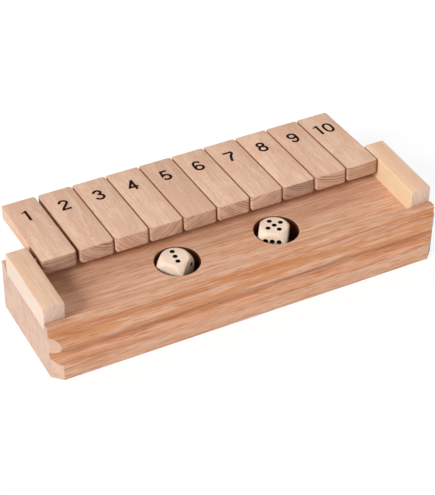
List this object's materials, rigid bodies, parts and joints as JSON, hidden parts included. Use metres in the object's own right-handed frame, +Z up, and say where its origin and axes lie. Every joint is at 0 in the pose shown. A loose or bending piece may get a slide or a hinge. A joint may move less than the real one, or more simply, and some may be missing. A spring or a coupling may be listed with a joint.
{
  "type": "shut the box game",
  "caption": "Wooden flip-tile dice game: a moulded tray with end cheeks, number tiles that flip over on a common rod, and dice that rest in round wells.",
  "frame": {"origin": "centre of the tray's flat underside", "axes": "+X along the tray to the player's right, +Y from the moulded front edge to the rear, +Z up"},
  "size_m": [0.28, 0.1255, 0.0509],
  "materials": {
    "tray_wood": "oiled, satin, straight grain along the tray",
    "cheek_wood": "pale, sanded, grain along the cheek",
    "peg_wood": "plain turned peg",
    "rod_steel": "drawn wire",
    "tile_wood": "sanded, pinkish, grain along the tile",
    "dice_wood": "cream, waxed, black drilled pips"
  },
  "bodies": {
    "tray": {"base_block": "tray_wood", "left_end_block": "cheek_wood", "right_end_block": "cheek_wood", "left_front_dowel": "peg_wood", "left_rear_dowel": "peg_wood", "right_front_dowel": "peg_wood", "right_rear_dowel": "peg_wood", "pivot_rod": "rod_steel"},
    "tile_1": {"tile_1": "tile_wood"},
    "tile_2": {"tile_2": "tile_wood"},
    "tile_3": {"tile_3": "tile_wood"},
    "tile_4": {"tile_4": "tile_wood"},
    "tile_5": {"tile_5": "tile_wood"},
    "tile_6": {"tile_6": "tile_wood"},
    "tile_7": {"tile_7": "tile_wood"},
    "tile_8": {"tile_8": "tile_wood"},
    "tile_9": {"tile_9": "tile_wood"},
    "tile_10": {"tile_10": "tile_wood"},
    "die_left": {"die_left": "dice_wood"},
    "die_right": {"die_right": "dice_wood"}
  },
  "joints": [
    {"name": "tile_1_flip", "type": "hinge", "parent": "tray", "child": "tile_1", "pos_m": [-0.1112, 0.0234, 0.0451], "axis": [1, 0, 0], "range_deg": [0, 184.1]},
    {"name": "tile_2_flip", "type": "hinge", "parent": "tray", "child": "tile_2", "pos_m": [-0.0852, 0.0234, 0.0451], "axis": [1, 0, 0], "range_deg": [0, 184.1]},
    {"name": "tile_3_flip", "type": "hinge", "parent": "tray", "child": "tile_3", "pos_m": [-0.0606, 0.0234, 0.0451], "axis": [1, 0, 0], "range_deg": [0, 184.1]},
    {"name": "tile_4_flip", "type": "hinge", "parent": "tray", "child": "tile_4", "pos_m": [-0.036, 0.0234, 0.0451], "axis": [1, 0, 0], "range_deg": [0, 184.1]},
    {"name": "tile_5_flip", "type": "hinge", "parent": "tray", "child": "tile_5", "pos_m": [-0.0114, 0.0234, 0.0451], "axis": [1, 0, 0], "range_deg": [0, 184.1]},
    {"name": "tile_6_flip", "type": "hinge", "parent": "tray", "child": "tile_6", "pos_m": [0.0132, 0.0234, 0.0451], "axis": [1, 0, 0], "range_deg": [0, 184.1]},
    {"name": "tile_7_flip", "type": "hinge", "parent": "tray", "child": "tile_7", "pos_m": [0.0378, 0.0234, 0.0451], "axis": [1, 0, 0], "range_deg": [0, 184.1]},
    {"name": "tile_8_flip", "type": "hinge", "parent": "tray", "child": "tile_8", "pos_m": [0.0624, 0.0234, 0.0451], "axis": [1, 0, 0], "range_deg": [0, 184.1]},
    {"name": "tile_9_flip", "type": "hinge", "parent": "tray", "child": "tile_9", "pos_m": [0.087, 0.0234, 0.0451], "axis": [1, 0, 0], "range_deg": [0, 184.1]},
    {"name": "tile_10_flip", "type": "hinge", "parent": "tray", "child": "tile_10", "pos_m": [0.1116, 0.0234, 0.0451], "axis": [1, 0, 0], "range_deg": [0, 184.1]},
    {"name": "die_left_lift", "type": "slide", "parent": "tray", "child": "die_left", "axis": [0, 0, 1], "range_m": [0, 0.06]},
    {"name": "die_right_lift", "type": "slide", "parent": "tray", "child": "die_right", "axis": [0, 0, 1], "range_m": [0, 0.06]}
  ]
}
